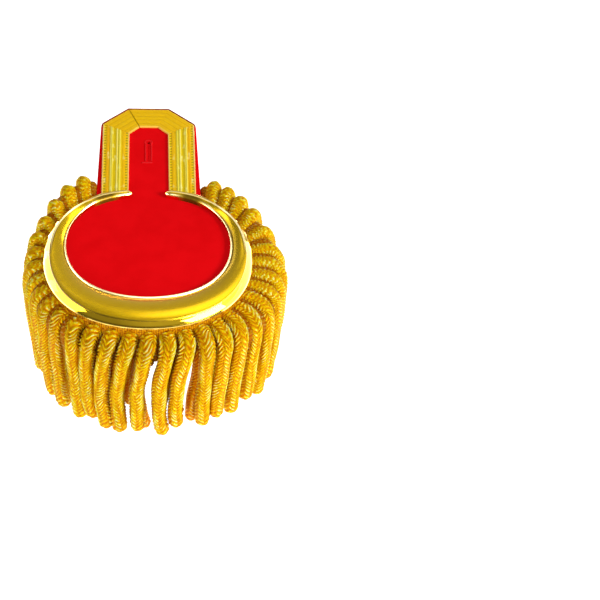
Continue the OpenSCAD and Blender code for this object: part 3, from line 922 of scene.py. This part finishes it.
def make_crescent(material):
    ends = [TIP_ANGLE - d for d in (0.0, 0.06, 0.2, 0.45, 0.8, 1.2, 1.7, 2.3, 3.0, 3.8)]
    middle = np.linspace(-166.5, 166.5, 334)
    rings, finishes = [], []
    for t in [-t for t in ends] + list(middle) + ends[::-1]:
        inner, outer = lip(t), crescent_edge(t)
        w = np.linalg.norm(outer - inner)
        mid = (inner + outer) / 2
        s = min(1.0, max(0.0, (abs(t) - TIP_ANGLE + TIP_ROUND) / TIP_ROUND))
        q = max(0.06, math.sqrt(1 - s * s))
        section, finish = crescent_section(t, w)
        size = (1 - TIP_DROOP * (abs(t) / TIP_ANGLE) ** 6) * (0.4 + 0.6 * q)
        ring = mid + (inner + (outer - inner) * section[:, :1] / w - mid) * q
        ring[:, 2] = BOARD_T + GAP + section[:, 1] * size
        rings.append(ring)
        finishes.append(finish)
    n = len(rings[0])
    points = np.vstack(rings)
    faces = [f[::-1] for f in grid_faces(len(rings), n, True)]
    for ring, flip in ((0, False), (len(rings) - 1, True)):
        faces += fan([ring * n + j for j in range(n)], len(points), flip)
        points = np.vstack([points, rings[ring].mean(0)])
        # Each tip's end is painted half pale, as a reflection
        finishes.append([[0.5, 0.0, 0.0]])
    worn, tarnish, rubbed = np.vstack(finishes).T
    piece = add_mesh("crescent_polished", points, faces, worn=worn, tarnish=tarnish, rubbed=rubbed)
    piece.data.set_sharp_from_angle(angle=math.radians(24))
    # What it mirrors of the panels stays off the cloth beside it
    piece.visible_diffuse = False
    finish_piece(piece, "polished_brass", material, "crescent")


# Fringe


def root_angle(i, step):
    return step * i - sin(4 * step * i)


def outer_angle(i):
    return RIGHT_STEP * i if i > 0 else root_angle(i, LEFT_STEP)


def crest(t):
    return CREST_H * smooth(-t, 112, 132)


def reach(t):
    """How far a strand of the outer row stands out from the rim."""
    sides = REACH_RIGHT * sin(t) - REACH_FRONT * cos(t) + REACH_SIDES * sin(t) ** 2
    return OUTER_REACH + sides + REACH_BACK * smooth(abs(t), 105, 145) + crest(t)


def lean(t):
    return LEAN_IN * sin(t) ** 2


def arched(out, lift, drop):
    """A strand's rise over the rim, as distances out and heights."""
    return [
        (out * sin(90 * s), ROOT_Z + lift * sin(180 * s) ** 2 - drop * (1 - cos(90 * s)))
        for s in (0, 0.25, 0.5, 0.75, 1)
    ]


def hung(profile, t, inset, top, low, middle=0.0, tip=0.0):
    """A strand's path, shifted sideways by middle at half depth and by tip at its end."""
    root, n, a = rim(t, inset), outward(t), along(t)
    path = []
    for out, z in profile:
        d = min(1.0, max(0.0, (top - z) / (top - low)))
        shift = (4 * middle - tip) * d + (2 * tip - 4 * middle) * d * d
        path.append(root + n * out + a * shift + UP * z)
    return path


def outer_route(i):
    """A strand's path, the way it starts, and the way along the row."""
    t = outer_angle(i)
    plain = (0.7 * sin(137 * i), sin(101 * i), 2.5 * sin(71 * i))
    middle, tip, shorter = SWAY.get(i, plain)
    low = -FRINGE_DROP + shorter
    out = reach(t) + 0.5 * sin(113 * i)
    lift = LIFT_FRONT + 0.6 * sin(59 * i) + LIFT_BACK * smooth(abs(t), 70, 140) + crest(t)
    drop = 6 + 0.35 * out
    fall_z = ROOT_Z - drop
    hang = [(out - lean(t) * h * h, fall_z + (low - fall_z) * h) for h in (0.35, 0.7, 1)]
    path = hung(arched(out, lift, drop) + hang, t, OUTER_ROOT_INSET, ROOT_Z, low, middle, tip)
    return path, outward(t), along(t)


def inner_route(i):
    t = root_angle(i, INNER_STEP)
    front = cos(t) ** 2 if abs(t) < 90 else 0.0
    plain = (-4.2 * front, -3.6 * front, 4 + 2 * sin(83 * i), 0)
    middle, tip, shorter, deeper = INNER_SWAY.get(i, plain)
    low = -FRINGE_DROP + shorter
    out = reach(t) + INNER_ROOT_INSET - OUTER_ROOT_INSET - ROW_SPACE - deeper
    deep = 12 + out
    bend = [(out * (1 - cos(180 * s)) / 2, INNER_ROOT_Z - deep * s) for s in (0, 0.35, 0.7, 1)]
    bend_z = INNER_ROOT_Z - deep
    hang = [(out - lean(t) * h * h, bend_z + (low - bend_z) * h) for h in (0.5, 1)]
    path = hung(bend + hang, t, INNER_ROOT_INSET, INNER_ROOT_Z, low, middle, tip)
    return path, -UP, along(t)


def loop_route(i):
    """A thin loop beside strand i, low behind the outer row."""
    t = max(-LAST_LOOP, min(LAST_LOOP, outer_angle(i + 0.5)))
    out = 0.92 * reach(t)
    lift = -0.4 + 7.6 * smooth(abs(t), 70, 140) + crest(t)
    drop = 6 + 0.35 * out
    n = outward(t) if abs(t) < LAST_LOOP else np.array([0.0, 1.0, 0.0])
    low = -26 + 3 * sin(97 * i)
    fall_z = ROOT_Z - drop
    hang = [(out - 1.5 * h, fall_z + (low - fall_z) * h) for h in (0.5, 1)]
    path = [rim(t, 0.9) + n * x + UP * z for x, z in arched(out, lift, drop) + hang]
    return path, n, along(t)


def skirt_route(t):
    """A short cord that hangs straight from the heading."""
    low = -21 + 2.5 * sin(211 * t)
    path = [rim(t, 1.0) + UP * z for z in (-3.4, -9, -14, low)]
    return path, -UP, along(t)


def spline(path, start, spacing):
    """Evenly spaced points on a smooth curve through a path, and their distances along it."""
    p = [np.asarray(q, float) for q in path]
    first = p[0] - start * np.linalg.norm(p[1] - p[0])
    p = [first] + p + [2 * p[-1] - p[-2]]
    dense = []
    share = np.linspace(0, 1, 24, endpoint=False)[:, None]
    for a, b, c, d in zip(p, p[1:], p[2:], p[3:]):
        spans = [math.sqrt(np.linalg.norm(r - q)) for q, r in ((a, b), (b, c), (c, d))]
        t0, t1, t2, t3 = np.cumsum([0.0] + spans)
        t = t1 + (t2 - t1) * share

        def between(q, r, low, high):
            return (high - t) / (high - low) * q + (t - low) / (high - low) * r

        a1, a2, a3 = between(a, b, t0, t1), between(b, c, t1, t2), between(c, d, t2, t3)
        dense.append(between(between(a1, a2, t0, t2), between(a2, a3, t1, t3), t1, t2))
    dense = np.vstack(dense + [p[-2][None]])
    length = lengths_along(dense)
    count = int(round(length[-1] / spacing)) + 1
    s = np.linspace(0, length[-1], count)
    return np.stack([np.interp(s, length, dense[:, c]) for c in range(3)], -1), s


def centre_line(route, spacing, number):
    """A strand's centre line: its points, its directions forwards, sideways and across, and the
    distance along it."""
    path, start, side = route
    centre, s = spline(path, start, spacing)
    waver = 0.22 * np.sin(s / 4.1 + number) * smooth(s, 8, 20)
    centre = centre + waver[:, None] * np.asarray(side)
    tangent = np.gradient(centre, axis=0)
    tangent[0] = start
    tangent = unit_rows(tangent)
    u = unit_rows(side - (tangent @ side)[:, None] * tangent)
    return centre, tangent, u, np.cross(tangent, u), s


def strand(route, radius, sides, number, curl=0.0, relief_size=1.0):
    """A strand as a tube whose wound cover stands up in V-shaped ridges.
    Curl winds them like a corkscrew round its top. Returns its points and faces, its ridge
    heights, and its places in the coil: two across the strand, and the number of turns."""
    spacing = V_PITCH / RINGS_PER_RIDGE
    centre, tangent, u, v, s = centre_line(route, spacing, number)
    length = s[-1]
    down = s[:, None]
    # Round the strand, each column's ridges run down to its middle and up again
    phi = np.arange(sides) * 2 * math.pi / sides
    column = phi / (2 * math.pi) * V_COLUMNS
    fold = 1 - np.abs(2 * (column % 1.0) - 1)
    half = np.floor(2 * column)
    rise = V_RISE * smooth(down, 14 * curl, 10 + 22 * curl) * smooth(length - down, 0, 8)
    loose = 0.35 * np.sin(down / 2.9 + 3 * phi + number) + 0.3 * np.sin(down / 1.3 + 5 * phi)
    at = np.clip(down - rise * (1 - fold) + loose * (rise / V_RISE), 0, length)

    def along_strand(values):
        return np.stack([np.interp(at, s, values[:, c]) for c in range(3)], -1)

    turn = phi - math.pi / 2 - 0.35 * math.sin(number * 2.3) - 0.25 * np.sin(at / 17 + number * 1.7)
    ring = np.cos(turn)[..., None] * along_strand(u) + np.sin(turn)[..., None] * along_strand(v)
    # The cover's turns, regular in the columns and ragged where it curls
    twist = curl * (1 - smooth(down, 12, 34))
    wound = np.cumsum(spacing / (V_PITCH * (1 - 0.2 * twist)), axis=0)
    ragged = 0.28 * np.sin(3 * phi + down / 1.7 + number) + 0.2 * np.sin(7 * phi - down / 2.6)
    turns = wound + 0.5 * half * (1 - twist) + twist * (4 * phi / (2 * math.pi) + ragged)
    within = turns % 1.0
    peak = 4 / RINGS_PER_RIDGE
    ridge = np.where(within < peak, within / peak, (1 - within) / (1 - peak)) ** 0.9
    sector = np.where(twist < 0.5, half, np.floor(CURL_SECTORS * phi / (2 * math.pi)))
    ridge = ridge * (0.8 + 0.2 * np.sin(12.99 * np.floor(turns) + 78.2 * sector + 37.7 * number))
    dip = np.cos(math.pi * fold) ** 4 * (1 - twist)
    # The end is round, and the tufts are bolder over the bend
    past = np.clip((at - (length - ROUND_END)) / ROUND_END, 0, 1)
    taper = np.sqrt(np.maximum(0.0, 1 - past ** 2.4))
    swell = 1 + 0.04 * np.sin(at / 6.7 + 1.9 * number)
    bold = 1 + (0.9 - 0.65 * curl) * (1 - smooth(down, 9, 24))
    relief = (RELIEF * bold * (ridge - 0.6) - 0.3 * dip) * relief_size
    r = (radius * swell + relief) * np.maximum(taper, 0.12)
    points = (along_strand(centre) + r[..., None] * ring).reshape(-1, 3)
    points = np.vstack([points, centre[0], centre[-1] + tangent[-1] * 0.15])
    heights = np.concatenate([np.clip(ridge - 0.25 * dip, 0, 1).ravel(), [0.3, 0.5]])
    coil = [radius * np.cos(turn), radius * np.sin(turn), turns + 13.7 * number]
    coil = np.stack(coil, -1).reshape(-1, 3)
    tail = len(coil) - sides
    faces = grid_faces(len(s), sides, True)
    faces += fan(range(sides), len(coil), True)
    faces += fan(range(tail, len(coil)), len(coil) + 1, False)
    return (points, faces), heights, np.vstack([coil, coil[[0, -1]]])


def make_bullion(name, strands, material, *nodes):
    solids, heights, coils = zip(*strands)
    points, faces = joined(solids)
    piece = add_mesh(name, points, faces, ridge=np.concatenate(heights), coil=np.vstack(coils))
    finish_piece(piece, "bullion", material, *nodes)


def outer_strand(i):
    """On the sides the top of an outer strand is wound in rough turns."""
    curl = smooth(abs(outer_angle(i)), 48, 80)
    return strand(outer_route(i), OUTER_R - COVER_DEPTH, OUTER_SIDES, i + 40, curl)


def inner_strand(i):
    return strand(inner_route(i), INNER_R - COVER_DEPTH, INNER_SIDES, i + 90)


def thin_cords():
    """Thin cords that close the gaps between the thick strands."""
    beside = [i for i in range(-15, 16) if abs(outer_angle(i + 0.5)) > 42]
    cords = [(loop_route(i), LOOP_R, 14) for i in beside]
    cords += [(loop_route(i), LAST_LOOP_R, 14) for i in (-16, 16)]
    cords += [(skirt_route(t), SKIRT_R, 8) for t in np.arange(-146.0, 147.0, SKIRT_STEP)]
    return [strand(*cord, k + 130, 1.0, FILLER_RELIEF) for k, cord in enumerate(cords)]


def make_heading(name, tape, material, *nodes):
    """Heading tape bound with close loops of wire."""
    outer, inner, bottom, top = tape
    half, tall = (inner - outer) / 2, (top - bottom) / 2

    def squared(x):
        return math.copysign(abs(x) ** 0.5, x)

    turn = np.arange(12) * math.pi / 6
    section = [(squared(math.cos(a)) * half, squared(math.sin(a)) * tall) for a in turn]
    angles = np.linspace(-TAPE_END, TAPE_END, 1350)
    middle = np.array([rim(t, (outer + inner) / 2) for t in angles])
    rings, ridges = [], []
    for t, at, s in zip(angles, middle, lengths_along(middle)):
        beat = abs(math.sin(math.pi * s / TAPE_PITCH)) ** 0.6
        n = unit(rim(t, 0) - rim(t, 1))
        swell = 0.82 + 0.18 * beat
        rings.append([at + n * (x * swell) + UP * ((top + bottom) / 2 + z) for x, z in section])
        ridges += [beat] * len(section)
    points, faces = tube(rings)
    finish_piece(add_mesh(name, points, faces, ridge=ridges), "bullion", material, *nodes)


def make_fringe():
    outer = bullion_material("bullion_outer", 1.0)
    # Warmer and darker copies, as painted shade for the row behind and the thin cords
    inner = bullion_material("bullion_inner_shaded", 0.72)
    deep = bullion_material("bullion_shaded_dark", 0.60, 0.55)
    heading = heading_material()
    rows = (("outer", OUTER_LENGTHS, outer_strand, outer), ("inner", INNER_LENGTHS, inner_strand, inner))
    nodes = {}
    for row, lengths, make_strand, material in rows:
        nodes[row] = [f"fringe_{row}_{place}" for place in lengths]
        for (place, (first, last)), node in zip(lengths.items(), nodes[row]):
            strands = [make_strand(i) for i in range(first, last + 1)]
            make_bullion(f"strands_{row}_{place}", strands, material, node)
    # The thin cords fill the gaps between the strands with a dark copy, as painted shade
    make_bullion("thin_cords", thin_cords(), deep, *nodes["outer"])
    make_heading("heading_outer", OUTER_TAPE, heading, *nodes["outer"])
    make_heading("heading_inner", INNER_TAPE, heading, *nodes["inner"])


# Studio, in metres. The camera is above the board's plane, on the arm's side

CAMERA_ELEVATION = 41
CAMERA_DISTANCE = 0.7656
CAMERA_RISE = 0.003828
CAMERA_LENS = 86.279
# Its turn off the object's middle, as an axis as long as the angle in radians
CAMERA_TURN = (0.0293575, 0.104823, -0.00154019)
FLOOR_DEPTH = 0.34
FLOOR_HALF_W = 8.0

# Columns: name, azimuth, elevation, distance, width and height, brightness.
# Azimuth 0 is the arm's side, and 90 is +X
SOFT_LIGHTS = [
    ("key", 70, 25, 1.6, (0.5, 0.4), 36),
    ("front_fill", -18, 14, 1.9, (1.5, 0.8), 5.3),
    ("overhead", 0, 80, 1.5, (0.9, 0.9), 1.6),
]
# What the crescent mirrors, lit for it alone
MIRRORED_PANELS = [
    ("left_back_card", 212, -11, 0.6, (0.37, 0.45), 5),
    ("left_wall", 241, 2, 0.6, (0.36, 0.44), 5),
    ("left_front_card", 268, 16, 0.8, (0.70, 0.70), 5),
    ("right_wall", 107, -5, 0.7, (1.0, 0.75), 5),
    ("back_card", 180, -20, 0.6, (0.8, 0.22), 4),
    ("front_right_panel", 57, 27, 1.5, (1.2, 0.8), 34),
    ("top_panel", 0, 63, 1.0, (0.7, 0.45), 4),
    ("back_panel", 168, 51, 1.2, (0.34, 0.4), 1.35),
    ("right_face_panel", 197, 40, 1.2, (0.26, 0.2), 0.95),
    ("right_front_card", 98, 30, 0.9, (0.5, 0.38), 2.5),
]


def add_camera():
    data = bpy.data.cameras.new("camera")
    data.sensor_width = 36.0
    data.lens = CAMERA_LENS
    data.clip_end = 20.0
    camera = bpy.data.objects.new("camera", data)
    back = Vector((0.0, -cos(CAMERA_ELEVATION), sin(CAMERA_ELEVATION)))
    right = Vector((1.0, 0.0, 0.0))
    level = Matrix((right, back.cross(right), back))
    axis = Vector(CAMERA_TURN)
    camera.matrix_world = (Matrix.Rotation(axis.length, 3, axis) @ level).transposed().to_4x4()
    camera.location = back * CAMERA_DISTANCE + Vector((0.0, 0.0, CAMERA_RISE))
    place_in_scene(camera)
    bpy.context.scene.camera = camera


def add_light(name, azimuth, elevation, distance, size, brightness):
    data = bpy.data.lights.new(name, "AREA")
    data.shape = "RECTANGLE"
    data.size, data.size_y = size
    data.energy = brightness * math.pi * size[0] * size[1]
    light = bpy.data.objects.new(name, data)
    flat = cos(elevation)
    at = Vector((flat * sin(azimuth), -flat * cos(azimuth), sin(elevation))) * distance
    light.location = at
    light.rotation_euler = at.to_track_quat("Z", "Y").to_euler()
    light.visible_camera = False
    place_in_scene(light)
    return light


def add_world():
    """Brighter on the +X side, and dark low down behind the camera."""
    world = bpy.data.worlds.new("studio")
    bpy.context.scene.world = world
    nodes = Nodes(world, "BACKGROUND")
    x, y, z = nodes.split(nodes.add("ShaderNodeTexCoord").outputs["Generated"])
    above = nodes.band(z, 0.12, 0.45)
    ahead = nodes.band(y, -0.55, 0.0)
    pale = nodes.mix(nodes.band(x, -0.4, 0.0), (0.26, 0.26, 0.26), (0.48, 0.48, 0.48))
    tone = nodes.mix(nodes.math("MAXIMUM", above, ahead), (0.12, 0.12, 0.12), pale)
    nodes.set(Color=tone)


def add_floor():
    """The light that it would throw up comes from the world instead."""
    corners = [(-1, -1), (1, -1), (1, 1), (-1, 1)]
    points = [(x * FLOOR_HALF_W, y * FLOOR_HALF_W, -FLOOR_DEPTH) for x, y in corners]
    mesh = bpy.data.meshes.new("floor")
    mesh.from_pydata(points, [], [(0, 1, 2, 3)])
    floor = bpy.data.objects.new("floor", mesh)
    floor.visible_diffuse = False
    place_in_scene(floor)
    nodes = new_material("pale_floor")
    nodes.set(Base_Color=(0.93, 0.93, 0.93, 1.0), Roughness=0.9)
    nodes.set(Emission_Color=(1.0, 1.0, 1.0, 1.0), Emission_Strength=0.7)
    mesh.materials.append(nodes.owner)


def make_studio():
    add_camera()
    add_world()
    add_floor()
    for row in SOFT_LIGHTS:
        add_light(*row).visible_glossy = False
    polished = bpy.data.collections.new("polished")
    polished.objects.link(bpy.data.objects["crescent_polished"])
    for row in MIRRORED_PANELS:
        add_light(*row).light_linking.receiver_collection = polished
    bpy.context.scene.view_settings.view_transform = "Standard"


make_board(cloth_material())
make_stitches(stitch_material())
make_lace(lace_material())
make_crescent(brass_material())
make_fringe()
make_studio()
tongue = frame["nodes"]["fixing_tongue"]
tongue.data.materials.clear()
tongue.data.materials.append(tongue_material())
